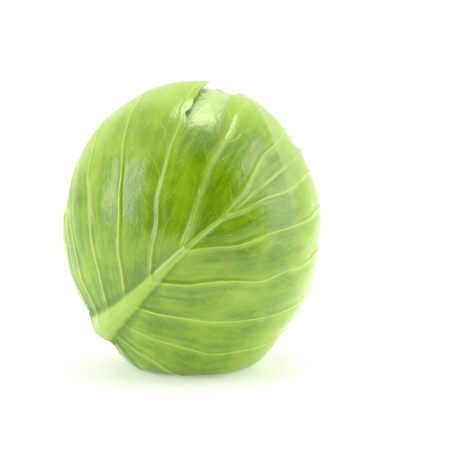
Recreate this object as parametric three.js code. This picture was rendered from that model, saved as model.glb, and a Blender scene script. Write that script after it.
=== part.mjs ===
// A head of round green cabbage, lying on its side on one small flattened spot.
// Millimetres, +Z up. The origin is on the ground, right below the middle of the head.
// The head is a packed heart of inner leaves on a cut stem, with five big wrapper leaves laid over it.
// Every surface is a distance from the middle of the head, worked out from the outside in: each leaf
// takes its room off the form of the head, and the next leaf lies under it, so the leaves never cross.
import * as THREE from "three";
import { mergeVertices } from "three/addons/utils/BufferGeometryUtils.js";

// Size and pose of the head
const HEAD_HALF_WIDTH = 82.5;
const HEAD_HALF_HEIGHT = 94.5;
const HEAD_ABOVE_GROUND = 88; // from the ground to the middle of the head
const STEM_DIRECTION = new THREE.Vector3(-0.6, 0.42, -0.68).normalize();
const FRONT_LEAF_MIDDLE = new THREE.Vector3(0.029, -0.992, 0.123).normalize();
const FLAT_SPOT_ROUNDING = 2.4;

// The head sags a little wider low down, and dips round the stem
const SAG_BULGE = 4;
const SAG_BULGE_AT = 26;
const SAG_BULGE_SPREAD = 11;
const STEM_DIMPLE = 7;
const STEM_DIMPLE_SPREAD = 26;

// Cut stem and its core, one cone that points at the middle of the head
const STEM_CONE = 9.4;
const STEM_GAP_ANGLE = 0.35;
const CORE_TIP_REACH = 42;
const CORE_TIP_GAP = 0.4;
const STEM_END_REACH = 90;
const STEM_END_BEVEL = 0.7;
const STEM_BEVEL_LENGTH = 1;
const STEM_SIDES = 20;

// Heart, with steps where the margins of its leaves end
const HEART_GAP = 3.2;
const HEART_FOLD = 1.6;
const HEART_FOLDS = 3;
const HEART_FOLD_TWIST = 60; // degrees from the stem in which the folds move on by one
const HEART_FOLD_FULL = 45;
const HEART_SIDES = 40;
const HEART_BANDS = 18;

// Leaf blade
const BLADE_THICKNESS = 0.9;
const BLADE_PUFF = 0.9;
const VEIN_FOOT = 0.013;
const VEIN_BOW = 0.09;
const VEIN_TAPER = 0.7;
const FIRST_VEIN_FROM_STEM = 38;
const LAST_VEIN_START = 34;
const VEIN_START_POWER = 1.75;
const LOWEST_VEIN_END = -66;
const VEIN_END_POWER = 1.15;
const CLOSING_POWER = 8; // how late the veins near the tip close up to the midrib

// Midrib: its height and half its width, from the stalk to the tip of the leaf
const MIDRIB_FULL_UP_TO = -110;
const MIDRIB_LOW_FROM = 60;
const MIDRIB_LOW_END = 0.15;
const MIDRIB_DROP_POWER = 1.6;
const MIDRIB_ROUNDNESS = 1.3;
const MIDRIB_WIDE_UP_TO = -105;
const MIDRIB_SLIM_FROM = 40;
const MIDRIB_SLIMMING_POWER = 1.5;
const WIDEST_MIDRIB = 8.2;
const SLIMMEST_MIDRIB = 0.9;
const RIB_ROWS = 3;
const RIB_SLANT = 0.6;
const BEND_START = -20;
const BEND_EASE = 30;

// Leaf stalk, which hugs the stem
const STALK_START = STEM_CONE + STEM_GAP_ANGLE;
const STALK_END = FIRST_VEIN_FROM_STEM - 4;
const STALK_COLUMNS = 3;
const STALK_HALF_WIDTH = 8.2;
const STALK_RIB_SHARE = 0.9;
const STALK_WRAP_LIMIT = 0.9;

// Waves of the margin, in degrees, and the lobe that is tucked in under the head
const LONG_WAVE = 2.4;
const LONG_WAVES = 3;
const SHORT_WAVE = 1.2;
const SHORT_WAVES = 8;
const WAVE_PHASE = 1.7;
const RUFFLES = 4;
const RUFFLE_START = 0.8;
const TUCK_AROUND = -48;
const TUCK_SPREAD = 32;

// How a leaf underneath comes up again beyond a margin, and sinks under a midrib, in degrees
const MARGIN_RISE_START = 2;
const MARGIN_RISE_END = 21;
const MIDRIB_SINK_START = 2;
const MIDRIB_SINK_END = 26;
const STALK_COVER_END = 14;
const STALK_COVER_FULL = STALK_START - 2;
const STALK_SINK_START = -2;

// Torn notch in the left margin of the front leaf: the cells from one column to another beyond one row,
// which lies at a share of the way from the midrib to the margin that grows across the notch
const NOTCH_FROM = 5.25 / 8 + VEIN_FOOT;
const NOTCH_TO = 0.745;
const NOTCH_ROW = 8;
const NOTCH_DEPTH = 0.61;
const NOTCH_SLANT = 0.04;
const NOTCH_CURL = 0.9;
const NOTCH_CURL_SPREAD = 0.045;
const NOTCH_CURL_START = 0.5;

// Wrapper leaves, outermost first.
// In degrees, turn is the way round the stem, lean the angle from the stem to the middle of the leaf, reach
// the angle from there to its margin, and tuck what a lobe of it reaches further under the head.
// bend is the slope of the upper midrib to the right, veinShift moves the veins towards the tip by a share of
// their spacing, and rows counts the rows of the grid on each half.
// In millimetres, midrib, vein and ruffle are heights, and gap is the clearance to the next leaf in.
const WRAPPER_LEAVES = [
  {
    turn: 0, lean: 121, reach: 86, tuck: 30, bend: 0.17, veins: 7, veinShift: 0.25, rows: 13,
    midrib: 4.6, vein: 1.3, ruffle: 0.9, gap: 1.0,
  },
  {
    turn: -138, lean: 103, reach: 84, tuck: 0, bend: -0.12, veins: 7, veinShift: 0, rows: 10,
    midrib: 4.4, vein: 1.0, ruffle: 1.4, gap: 1.5,
  },
  {
    turn: 88, lean: 100, reach: 82, tuck: 0, bend: 0.1, veins: 7, veinShift: 0, rows: 10,
    midrib: 4.2, vein: 1.0, ruffle: 1.3, gap: 1.9,
  },
  {
    turn: -52, lean: 98, reach: 80, tuck: 0, bend: 0.08, veins: 5, veinShift: 0, rows: 8,
    midrib: 3.2, vein: 0.8, ruffle: 0.8, gap: 2.1,
  },
  {
    turn: 172, lean: 96, reach: 79, tuck: 0, bend: -0.08, veins: 5, veinShift: 0, rows: 8,
    midrib: 3.2, vein: 0.8, ruffle: 0.8, gap: 1.9,
  },
];

const radians = THREE.MathUtils.degToRad;
const degrees = THREE.MathUtils.radToDeg;
const smooth = (x, from, to) => THREE.MathUtils.smoothstep(x, from, to);
const bell = (x, middle, spread) => Math.exp(-(((x - middle) / spread) ** 2));
const angleBetween = (a, b) => degrees(Math.acos(THREE.MathUtils.clamp(a.dot(b), -1, 1)));

// Form of the head

// How far the head reaches from its middle along a direction.
function headForm(direction) {
  const oval = 1 / Math.hypot(
    direction.x / HEAD_HALF_WIDTH,
    direction.y / HEAD_HALF_WIDTH,
    direction.z / HEAD_HALF_HEIGHT,
  );
  const fromBelow = degrees(Math.acos(THREE.MathUtils.clamp(-direction.z, -1, 1)));
  const sag = SAG_BULGE * bell(fromBelow, SAG_BULGE_AT, SAG_BULGE_SPREAD);
  const dimple = STEM_DIMPLE * bell(angleBetween(direction, STEM_DIRECTION), 0, STEM_DIMPLE_SPREAD);
  return oval + sag - dimple;
}

// A surface is pressed flat at a level above the ground, with a soft bend into it.
function pressFlat(direction, reach, level) {
  if (direction.z >= 0) return reach;
  const flat = (HEAD_ABOVE_GROUND - level) / -direction.z;
  const bend = Math.max(0, FLAT_SPOT_ROUNDING - Math.abs(reach - flat));
  return Math.min(reach, flat) - bend ** 2 / (4 * FLAT_SPOT_ROUNDING);
}

// Where a leaf lies

// The middle of a leaf, the direction along its midrib away from the stem, and the one to its right.
function leafFrame(leaf) {
  const outward = FRONT_LEAF_MIDDLE.clone()
    .addScaledVector(STEM_DIRECTION, -FRONT_LEAF_MIDDLE.dot(STEM_DIRECTION))
    .normalize()
    .applyAxisAngle(STEM_DIRECTION, -radians(leaf.turn));
  const lean = radians(leaf.lean);
  const middle = STEM_DIRECTION.clone()
    .multiplyScalar(Math.cos(lean))
    .addScaledVector(outward, Math.sin(lean));
  const along = STEM_DIRECTION.clone()
    .multiplyScalar(-Math.sin(lean))
    .addScaledVector(outward, Math.cos(lean));
  return { middle, along, outward, right: along.clone().cross(middle) };
}

// A place on the leaf laid out flat, in degrees across it to the right and along it, as a direction.
function directionOf(leaf, x, y) {
  const { middle, along, right } = leaf.frame;
  const angle = Math.max(1e-6, Math.hypot(x, y));
  const share = Math.sin(radians(angle)) / angle;
  return middle.clone()
    .multiplyScalar(Math.cos(radians(angle)))
    .addScaledVector(right, share * x)
    .addScaledVector(along, share * y);
}

// The other way round: where a direction falls on the leaf laid out flat, and how far from its midrib.
function placeOf(leaf, direction) {
  const { middle, along, right } = leaf.frame;
  const angle = Math.max(1e-6, angleBetween(direction, middle));
  const share = Math.sin(radians(angle)) / angle;
  const x = direction.dot(right) / share;
  const y = direction.dot(along) / share;
  const fromMidrib = degrees(Math.asin(Math.min(1, Math.abs((x - midribX(leaf, y)) * share))));
  return { x, y, angle, fromMidrib };
}

// Where the midrib runs on the leaf laid out flat: straight, then eased into its slope to one side.
function midribX(leaf, y) {
  const along = Math.max(0, y - BEND_START);
  return leaf.bend * (along < BEND_EASE ? along ** 2 / (2 * BEND_EASE) : along - BEND_EASE / 2);
}

// The angle from the middle of the leaf to its margin, towards a place on the leaf laid out flat.
function marginReach(leaf, x, y) {
  const around = Math.atan2(y, x);
  const longWave = LONG_WAVE * Math.sin(LONG_WAVES * around + WAVE_PHASE * leaf.index);
  const shortWave = SHORT_WAVE * Math.sin(SHORT_WAVES * around + leaf.index);
  return leaf.reach + longWave + shortWave + leaf.tuck * bell(degrees(around), TUCK_AROUND, TUCK_SPREAD);
}

// Relief of a leaf

function midribHeight(leaf, y) {
  const drop = (1 - smooth(y, MIDRIB_FULL_UP_TO, MIDRIB_LOW_FROM)) ** MIDRIB_DROP_POWER;
  return leaf.midrib * THREE.MathUtils.lerp(MIDRIB_LOW_END, 1, drop);
}

function midribHalfWidth(y) {
  const slimming = (1 - smooth(y, MIDRIB_WIDE_UP_TO, MIDRIB_SLIM_FROM)) ** MIDRIB_SLIMMING_POWER;
  return THREE.MathUtils.lerp(SLIMMEST_MIDRIB, WIDEST_MIDRIB, slimming);
}

// How much of a direction a leaf covers, from 1 on it to 0 well beyond its margin and its stalk.
function coverBy(leaf, direction) {
  const { x, y, angle, fromMidrib } = placeOf(leaf, direction);
  const pastMargin = angle - marginReach(leaf, x, y);
  const blade = 1 - smooth(pastMargin, MARGIN_RISE_START, MARGIN_RISE_END);
  const besideStalk = 1 - smooth(fromMidrib - STALK_HALF_WIDTH, MARGIN_RISE_START, STALK_COVER_END);
  const alongStalk = smooth(leaf.lean + y, 0, STALK_COVER_FULL);
  const stalk = y < 0 ? besideStalk * alongStalk : 0;
  return Math.max(blade, stalk);
}

// How much the wrapper leaves outside this one cover a direction.
function coverOver(leaf, direction) {
  const open = WRAPPER_LEAVES.slice(0, leaf.index).map((outer) => 1 - coverBy(outer, direction));
  return 1 - open.reduce((product, share) => product * share, 1);
}

// How far a covered leaf sinks so that its own midrib has room under the next leaf out.
function midribSink(leaf, direction) {
  const { y, fromMidrib } = placeOf(leaf, direction);
  const beside = 1 - smooth(fromMidrib - midribHalfWidth(y), MIDRIB_SINK_START, MIDRIB_SINK_END);
  const along = smooth(leaf.lean + y, STALK_SINK_START, STALK_COVER_FULL);
  return midribHeight(leaf, y) * beside * along * coverOver(leaf, direction);
}

// The room that a leaf takes off the form of the head.
function roomOf(leaf, direction) {
  const blade = BLADE_THICKNESS + leaf.gap + leaf.vein * coverOver(leaf, direction);
  return coverBy(leaf, direction) * blade + midribSink(leaf, direction);
}

// The room that the outermost leaves take together, as many as given.
function roomOver(count, direction) {
  return WRAPPER_LEAVES.slice(0, count).reduce((sum, leaf) => sum + roomOf(leaf, direction), 0);
}

// How high over the ground a leaf is pressed flat: on as many of the outermost leaves as given.
function levelOver(count, direction) {
  return WRAPPER_LEAVES.slice(0, count)
    .reduce((sum, leaf) => sum + coverBy(leaf, direction) * (BLADE_THICKNESS + leaf.gap), 0);
}

// Grid of a leaf: columns that follow its veins from the midrib to the margin

// The columns of the blade, from 0 at its lowest edge to 1 at its tip, three on each vein.
function bladeColumns(leaf) {
  const step = 1 / (leaf.veins + 1);
  const columns = [{ t: 0 }, { t: 1 - step / 2 }, { t: 1 - step / 4 }, { t: 1 }];
  for (let vein = 1; vein <= leaf.veins; vein += 1) {
    const t = (vein + leaf.veinShift) * step;
    columns.push({ t: t - step / 2 }, { t: t - VEIN_FOOT }, { t, crest: true }, { t: t + VEIN_FOOT });
  }
  if (leaf.index === 0) columns.push({ t: NOTCH_TO });
  return columns.sort((a, b) => a.t - b.t);
}

// How far a row lies from the rib's side, as a share of the way to the margin.
function rowShare(leaf, t, row) {
  if (leaf.index > 0) return (row - RIB_ROWS) / (leaf.rows - RIB_ROWS);
  const notchShare = NOTCH_DEPTH + NOTCH_SLANT * smooth(t, NOTCH_FROM, NOTCH_TO);
  if (row <= NOTCH_ROW) return notchShare * ((row - RIB_ROWS) / (NOTCH_ROW - RIB_ROWS));
  return notchShare + (1 - notchShare) * ((row - NOTCH_ROW) / (leaf.rows - NOTCH_ROW));
}

// One place on a column of the blade: row 0 lies on the midrib and the last row on the margin.
function bladePlace(leaf, side, { t }, row) {
  const firstY = FIRST_VEIN_FROM_STEM - leaf.lean;
  const startY = THREE.MathUtils.lerp(firstY, LAST_VEIN_START, t ** VEIN_START_POWER);
  const start = new THREE.Vector2(side * midribX(leaf, startY), startY);
  const flattening = start.length() / degrees(Math.sin(radians(start.length())));
  const ribWidth = midribHalfWidth(startY) * flattening * (1 - t ** CLOSING_POWER);
  const ribSide = start.clone().add(new THREE.Vector2(ribWidth, RIB_SLANT * ribWidth));
  if (row <= RIB_ROWS) {
    const point = start.lerp(ribSide, row / RIB_ROWS);
    return { direction: directionOf(leaf, side * point.x, point.y), share: 0 };
  }
  const tipRise = 90 - side * degrees(Math.atan(midribX(leaf, leaf.reach) / leaf.reach));
  const rise = radians(THREE.MathUtils.lerp(tipRise, LOWEST_VEIN_END, (1 - t) ** VEIN_END_POWER));
  const end = new THREE.Vector2(Math.cos(rise), Math.sin(rise));
  end.multiplyScalar(marginReach(leaf, side * end.x, end.y));
  const chord = end.clone().sub(ribSide);
  const bow = new THREE.Vector2(chord.y, -chord.x).multiplyScalar(VEIN_BOW * (1 - t ** CLOSING_POWER));
  const control = ribSide.clone().add(end).multiplyScalar(0.5).add(bow);
  const share = rowShare(leaf, t, row);
  const point = new THREE.QuadraticBezierCurve(ribSide, control, end).getPoint(share);
  return { direction: directionOf(leaf, side * point.x, point.y), share };
}

// One place on a column of the stalk, on an arc round the stem.
function stalkPlace(leaf, side, { stalk }, row) {
  const fromStem = radians(THREE.MathUtils.lerp(STALK_START, STALK_END, stalk));
  const wrap = Math.sin(radians(STALK_HALF_WIDTH)) / Math.sin(fromStem);
  const widest = Math.asin(Math.min(STALK_WRAP_LIMIT, wrap));
  const beyondRib = Math.max(0, row - RIB_ROWS) / (leaf.rows - RIB_ROWS);
  const across = STALK_RIB_SHARE * Math.min(1, row / RIB_ROWS) + (1 - STALK_RIB_SHARE) * beyondRib;
  const around = side * widest * across;
  const direction = STEM_DIRECTION.clone()
    .multiplyScalar(Math.cos(fromStem))
    .addScaledVector(leaf.frame.outward, Math.sin(fromStem) * Math.cos(around))
    .addScaledVector(leaf.frame.right, Math.sin(fromStem) * Math.sin(around));
  return { direction, share: 0 };
}

// How high the midrib or a vein stands on the blade.
function reliefAt(leaf, column, { direction, share }) {
  const { y, fromMidrib } = placeOf(leaf, direction);
  const across = Math.min(1, fromMidrib / midribHalfWidth(y));
  const midrib = midribHeight(leaf, y) * (1 - across ** 2) ** MIDRIB_ROUNDNESS;
  const vein = column.crest ? leaf.vein * (1 - VEIN_TAPER * share) : 0;
  return Math.max(midrib, vein);
}

// How far the blade lifts off what it lies on: a puff between the veins and a ruffled margin.
function liftAt(leaf, side, column, { direction, share }) {
  if (column.stalk !== undefined) return 0;
  const betweenVeins = Math.abs(Math.sin(Math.PI * (column.t * (leaf.veins + 1) - leaf.veinShift)));
  const puff = BLADE_PUFF * betweenVeins * Math.sin(Math.PI * share);
  const phase = (leaf.index + side) * (1 - smooth(column.t, RUFFLE_START, 1));
  const ruffling = 0.5 + 0.5 * Math.sin(2 * Math.PI * RUFFLES * column.t + phase);
  const ruffle = leaf.ruffle * smooth(share, RUFFLE_START, 1) * ruffling;
  const atNotch = leaf.index === 0 && side < 0 ? bell(column.t, NOTCH_FROM, NOTCH_CURL_SPREAD) : 0;
  const curl = NOTCH_CURL * atNotch * smooth(share, NOTCH_CURL_START, 1);
  return (puff + ruffle + curl) * (1 - coverOver(leaf, direction));
}

// A closed leaf: an outer and an inner sheet with the same triangles, joined round the rim.
function leafGeometry(leaf) {
  const stalkColumns = Array.from({ length: STALK_COLUMNS }, (_, i) => ({ stalk: i / (STALK_COLUMNS - 1) }));
  const columns = [...stalkColumns, ...bladeColumns(leaf)];
  const outer = [];
  const inner = [];
  for (const column of columns) {
    for (let row = -leaf.rows; row <= leaf.rows; row += 1) {
      const side = row < 0 ? -1 : 1;
      const placeOn = column.stalk === undefined ? bladePlace : stalkPlace;
      const place = placeOn(leaf, side, column, Math.abs(row));
      const { direction } = place;
      const level = levelOver(leaf.index, direction);
      const sunk = leaf.vein * coverOver(leaf, direction) + midribSink(leaf, direction);
      const blade = headForm(direction) - roomOver(leaf.index, direction) - sunk
        + liftAt(leaf, side, column, place);
      const crest = blade + reliefAt(leaf, column, place);
      outer.push(direction.clone().multiplyScalar(pressFlat(direction, crest, level)));
      inner.push(direction.clone().multiplyScalar(
        pressFlat(direction, blade - BLADE_THICKNESS, level + BLADE_THICKNESS),
      ));
    }
  }
  const inNotch = (c, r) => leaf.index === 0 && r < leaf.rows - NOTCH_ROW
    && columns[c].t >= NOTCH_FROM && columns[c].t < NOTCH_TO;
  return closedGeometry([...outer, ...inner], sheetFaces(columns.length, 2 * leaf.rows + 1, inNotch));
}

// Faces of the outer sheet, the inner sheet and the rim, over all cells of the grid that aren't missing.
function sheetFaces(columnCount, rowCount, isMissing) {
  const faces = [];
  const inside = columnCount * rowCount;
  const at = (column, row) => column * rowCount + row;
  const quad = (a, b, c, d) => faces.push([a, b, c], [a, c, d]);
  // Beyond the last column the two halves of a leaf meet, so there is no rim.
  const isInGrid = (c, r) => c >= 0 && r >= 0 && r < rowCount - 1;
  const isThere = (c, r) => isInGrid(c, r) && (c === columnCount - 1 || !isMissing(c, r));
  for (let c = 0; c < columnCount - 1; c += 1) {
    for (let r = 0; r < rowCount - 1; r += 1) {
      if (isMissing(c, r)) continue;
      const [a, b, e, f] = [at(c, r), at(c, r + 1), at(c + 1, r + 1), at(c + 1, r)];
      quad(a, b, e, f);
      quad(e + inside, b + inside, a + inside, f + inside);
      if (!isThere(c - 1, r)) quad(b, a, a + inside, b + inside);
      if (!isThere(c + 1, r)) quad(f, e, e + inside, f + inside);
      if (!isThere(c, r - 1)) quad(a, f, f + inside, a + inside);
      if (!isThere(c, r + 1)) quad(e, b, b + inside, e + inside);
    }
  }
  return faces;
}

// Corners that coincide become one, faces that collapse with them go, and the faces are turned outwards.
function closedGeometry(points, faces) {
  const geometry = new THREE.BufferGeometry().setFromPoints(points);
  geometry.setIndex(faces.flat());
  const merged = mergeVertices(geometry, 1e-3);
  const corner = (i) => new THREE.Vector3().fromBufferAttribute(merged.attributes.position, i);
  const kept = [];
  let volume = 0;
  for (let i = 0; i < merged.index.count; i += 3) {
    const [a, b, c] = merged.index.array.slice(i, i + 3);
    if (a === b || b === c || a === c) continue;
    kept.push([a, b, c]);
    volume += corner(a).dot(corner(b).cross(corner(c)));
  }
  merged.setIndex((volume < 0 ? kept.map((face) => face.reverse()) : kept).flat());
  merged.computeVertexNormals();
  return merged;
}

// Heart and stem

// A ring of directions round the stem, at an angle from it.
function ringRoundStem(fromStem, sides) {
  const sideways = new THREE.Vector3(0, 0, 1).cross(STEM_DIRECTION).normalize();
  const upwards = STEM_DIRECTION.clone().cross(sideways);
  return Array.from({ length: sides }, (_, i) => {
    const around = (2 * Math.PI * i) / sides;
    return STEM_DIRECTION.clone()
      .multiplyScalar(Math.cos(radians(fromStem)))
      .addScaledVector(sideways, Math.sin(radians(fromStem)) * Math.cos(around))
      .addScaledVector(upwards, Math.sin(radians(fromStem)) * Math.sin(around));
  });
}

// A ring of points on a cone round the stem's axis, at a distance along the axis.
function coneRing(distance, cone, sides) {
  const reach = distance / Math.cos(radians(cone));
  return ringRoundStem(cone, sides).map((direction) => direction.multiplyScalar(reach));
}

// Rings one after another, closed by a point at each end.
function ringGeometry(firstPoint, rings, lastPoint) {
  const sides = rings[0].length;
  const points = [firstPoint, ...rings.flat(), lastPoint];
  const at = (ring, side) => 1 + ring * sides + (side % sides);
  const faces = [];
  for (let side = 0; side < sides; side += 1) {
    faces.push([0, at(0, side + 1), at(0, side)]);
    faces.push([points.length - 1, at(rings.length - 1, side), at(rings.length - 1, side + 1)]);
    for (let ring = 0; ring < rings.length - 1; ring += 1) {
      faces.push([at(ring, side), at(ring, side + 1), at(ring + 1, side + 1)]);
      faces.push([at(ring, side), at(ring + 1, side + 1), at(ring + 1, side)]);
    }
  }
  return closedGeometry(points, faces);
}

// How far the heart reaches: what the wrapper leaves leave free, less the steps of its own leaf margins.
function heartReach(direction, fromStem, side) {
  const winding = (HEART_FOLDS * side) / HEART_SIDES + fromStem / HEART_FOLD_TWIST;
  const step = HEART_FOLD * (winding - Math.floor(winding)) * smooth(fromStem, STALK_START, HEART_FOLD_FULL);
  const free = headForm(direction) - roomOver(WRAPPER_LEAVES.length, direction) - HEART_GAP;
  return pressFlat(direction, free - step, levelOver(WRAPPER_LEAVES.length, direction));
}

// The heart: packed inner leaves, with a blind tapered hole for the core.
function heartGeometry() {
  const rings = [coneRing(CORE_TIP_REACH - CORE_TIP_GAP, STALK_START, HEART_SIDES)];
  for (let band = 0; band < HEART_BANDS; band += 1) {
    const fromStem = THREE.MathUtils.lerp(STALK_START, 180, band / HEART_BANDS);
    rings.push(ringRoundStem(fromStem, HEART_SIDES)
      .map((direction, side) => direction.clone().multiplyScalar(heartReach(direction, fromStem, side))));
  }
  const crown = STEM_DIRECTION.clone().negate();
  const holeEnd = STEM_DIRECTION.clone().multiplyScalar(CORE_TIP_REACH - CORE_TIP_GAP);
  return ringGeometry(holeEnd, rings, crown.clone().multiplyScalar(heartReach(crown, 180, 0)));
}

// The stem, cut flat, with its core running into the heart.
function stemGeometry() {
  const rings = [
    coneRing(CORE_TIP_REACH, STEM_CONE, STEM_SIDES),
    coneRing(STEM_END_REACH - STEM_BEVEL_LENGTH, STEM_CONE, STEM_SIDES),
    coneRing(STEM_END_REACH, STEM_CONE - STEM_END_BEVEL, STEM_SIDES),
  ];
  return ringGeometry(
    STEM_DIRECTION.clone().multiplyScalar(CORE_TIP_REACH),
    rings,
    STEM_DIRECTION.clone().multiplyScalar(STEM_END_REACH),
  );
}

// Colours and the finished head

const finish = (color, roughness) => new THREE.MeshStandardMaterial({ color, roughness, metalness: 0 });
const outerLeafFinish = finish("#8fb83e", 0.45);
const innerLeafFinish = finish("#b4d070", 0.45);
const heartFinish = finish("#d3dfa0", 0.5);
const stemFinish = finish("#dfe6bd", 0.6);

const cabbage = new THREE.Group();
cabbage.position.z = HEAD_ABOVE_GROUND;

function addPiece(name, geometry, material) {
  const mesh = new THREE.Mesh(geometry, material);
  mesh.name = name;
  cabbage.add(mesh);
}

WRAPPER_LEAVES.forEach((leaf, index) => {
  leaf.index = index;
  leaf.frame = leafFrame(leaf);
});
for (const leaf of WRAPPER_LEAVES) {
  const leafFinish = leaf.index < 3 ? outerLeafFinish : innerLeafFinish;
  addPiece(`wrapper_leaf_${leaf.index + 1}`, leafGeometry(leaf), leafFinish);
}
addPiece("heart", heartGeometry(), heartFinish);
addPiece("stem", stemGeometry(), stemFinish);

export default cabbage;
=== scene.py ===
# A whole head of round green cabbage: waxy, veined wrapper leaves over a packed heart, on a cut stem.
# Metres and degrees, +Z up. Every surface is a distance from the middle of the head along a direction.
import math

import bmesh
import bpy
import numpy as np
from mathutils import Euler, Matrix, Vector, noise


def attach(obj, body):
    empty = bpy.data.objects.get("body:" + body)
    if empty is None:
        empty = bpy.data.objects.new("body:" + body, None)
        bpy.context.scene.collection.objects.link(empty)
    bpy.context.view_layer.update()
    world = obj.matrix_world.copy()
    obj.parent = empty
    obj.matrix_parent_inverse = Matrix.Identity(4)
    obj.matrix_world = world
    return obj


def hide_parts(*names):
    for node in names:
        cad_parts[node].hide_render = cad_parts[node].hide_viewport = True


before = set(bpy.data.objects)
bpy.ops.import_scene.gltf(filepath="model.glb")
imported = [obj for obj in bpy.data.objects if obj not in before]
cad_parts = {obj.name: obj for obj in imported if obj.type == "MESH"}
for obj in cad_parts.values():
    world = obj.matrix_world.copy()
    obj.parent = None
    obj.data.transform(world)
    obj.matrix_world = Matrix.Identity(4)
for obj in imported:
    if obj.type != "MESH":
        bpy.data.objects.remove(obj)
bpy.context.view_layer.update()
mm = 0.001
tiny = 1e-9  # keeps divisions off zero

head = {
    "halfWidth": 82.5 * mm,
    "halfHeight": 94.5 * mm,
    "middle": np.array([0, 0, 88 * mm]),
    "stem": np.array([-0.6, 0.42, -0.68]),  # towards the cut stem
    "frontLeaf": np.array([0.029, -0.992, 0.123]),  # towards the middle of the front leaf
    "flatRounding": 2.4 * mm,  # how softly the flat spot below turns up into the side
    "sag": 4 * mm,  # the bulge round the flat spot
    "sagAt": 26,
    "sagSpread": 11,
    "dimple": 7 * mm,  # the hollow round the stem
    "dimpleSpread": 26,
}
for axis in ("stem", "frontLeaf"):
    head[axis] = head[axis] / np.linalg.norm(head[axis])

# What all wrapper leaves share. A leaf is laid out flat in degrees as seen from the middle of the head:
# y runs along its midrib, away from the stem. A share of 0 to 1 runs along a vein, from midrib to margin,
# and t of 0 to 1 along the midrib, from the first vein to the tip. Pairs are where something starts and ends
blade = {
    "thickness": 0.9 * mm,
    "marginThickness": 0.5 * mm,
    "marginStart": 0.9,
    "sharpAngle": 55,
    "mergeDistance": 1e-5,
    "patternScale": 1.45,  # millimetres a degree, for the patterns of the material
    "patternStep": 40.0,  # sets the pattern of each leaf apart from the last one's
    "puff": 0.9 * mm,  # how far the blade swells between two veins
    "bump": 0.5 * mm,
    "bumpScale": 0.075,
    "fineBump": 0.22 * mm,
    "fineBumpScale": 0.2,
    "bumpStart": (0.02, 0.2),
    "bumpEnd": (0.93, 1),
    "veinHalfWidth": 0.95 * mm,
    "veinEndHalfWidth": 0.5 * mm,
    "veinTaper": 0.6,
    "veinFoot": 3.2,  # how far the sides of a vein reach, in half widths of it
    "farFromVeins": 9.0,
    "veinBow": 0.09,
    "wander": 1.9,  # how far the veins stray
    "wanderScale": 0.055,
    "wanderStart": (0, 0.2),
    "wanderEnd": (0.8, 1),
    "tipWander": 0.1,
    "crowding": 0.55,  # how much the columns of the grid crowd at the veins
    "crowdingEnd": 0.7,
    "firstVein": 38,
    "lastVein": 34,
    "startPower": 1.75,
    "lowestEnd": -66,
    "endPower": 1.15,
    "closing": 8,
    "ribSlant": 0.6,
    "ribSlimmest": 0.9,
    "ribWidest": 8.2,
    "ribWidthFade": (-105, 40),
    "ribWidthPower": 1.5,
    "ribLowEnd": 0.15,
    "ribHeightFade": (-110, 60),
    "ribHeightPower": 1.6,
    "ribRoundness": 1.3,
    "bendStart": -20,
    "bendEase": 30,
    "stalkStart": 9.75,
    "stalkEnd": 34,
    "stalkEase": 2,
    "stalkHalfWidth": 8.2,
    "stalkWrap": 0.9,
    "stalkRibShare": 0.9,
    "stalkCover": 14,
    "stalkColumns": 12,
    "joinColumns": 6,
    "pastStem": (4, 16),
    "riseStart": 2,  # how leaves rise over the margin of one below
    "riseEnd": 21,
    "sinkStart": 2,  # how leaves below make room for a midrib
    "sinkEnd": 26,
    "longWave": 2.4,
    "longWaves": 3,
    "longPhase": 1.7,
    "shortWave": 1.2,
    "shortWaves": 8,
    "tuckAround": -48,
    "tuckSpread": 32,
    "ruffleStart": 0.8,
    "ruffleWaves": 4,
    "tipStart": 0.8,
}

# The notch torn in the top margin of the front leaf, with its two sides given as t
notch = {
    "start": 0.669,
    "end": 0.745,
    "depth": 0.61,
    "slant": 0.04,
    "rowShare": 0.6,
    "curl": 0.9 * mm,  # its left side turns up
    "curlStart": 0.1,
    "curlSpread": 0.045,
    "tear": 1.5,  # how ragged the tear is
    "tearScale": 0.2,
    "tearSides": (0.5, 0.62),
    "sideSpread": 0.02,
    "depthSpread": 0.06,
    "cornerEase": 0.01,
}

# From the outermost leaf inwards: turn is round the stem, lean is how far its middle lies from the stem
leaves = [
    {"turn": 0, "lean": 121, "reach": 86, "tuck": 30, "bend": 0.17, "veins": 7, "veinShift": 0.25,
     "midrib": 4.6 * mm, "vein": 1.3 * mm, "ruffle": 0.9 * mm, "gap": 1.0 * mm,
     "perVein": 24, "rows": 72, "ribRows": 12},
    {"turn": -138, "lean": 103, "reach": 84, "tuck": 0, "bend": -0.12, "veins": 7, "veinShift": 0,
     "midrib": 4.4 * mm, "vein": 1.0 * mm, "ruffle": 1.4 * mm, "gap": 1.5 * mm,
     "perVein": 20, "rows": 60, "ribRows": 10},
    {"turn": 88, "lean": 100, "reach": 82, "tuck": 0, "bend": 0.1, "veins": 7, "veinShift": 0,
     "midrib": 4.2 * mm, "vein": 1.0 * mm, "ruffle": 1.3 * mm, "gap": 1.9 * mm,
     "perVein": 20, "rows": 60, "ribRows": 10},
    {"turn": -52, "lean": 98, "reach": 80, "tuck": 0, "bend": 0.08, "veins": 5, "veinShift": 0,
     "midrib": 3.2 * mm, "vein": 0.8 * mm, "ruffle": 0.8 * mm, "gap": 2.1 * mm,
     "perVein": 16, "rows": 44, "ribRows": 8},
    {"turn": 172, "lean": 96, "reach": 79, "tuck": 0, "bend": -0.08, "veins": 5, "veinShift": 0,
     "midrib": 3.2 * mm, "vein": 0.8 * mm, "ruffle": 0.8 * mm, "gap": 1.9 * mm,
     "perVein": 16, "rows": 44, "ribRows": 8},
]


def smooth(x, start, end):
    share = np.clip((x - start) / (end - start), 0, 1)
    return share * share * (3 - 2 * share)


def bell(x, middle, spread):
    return np.exp(-(((x - middle) / spread) ** 2))


def lerp(a, b, share):
    return a + (b - a) * share


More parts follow.
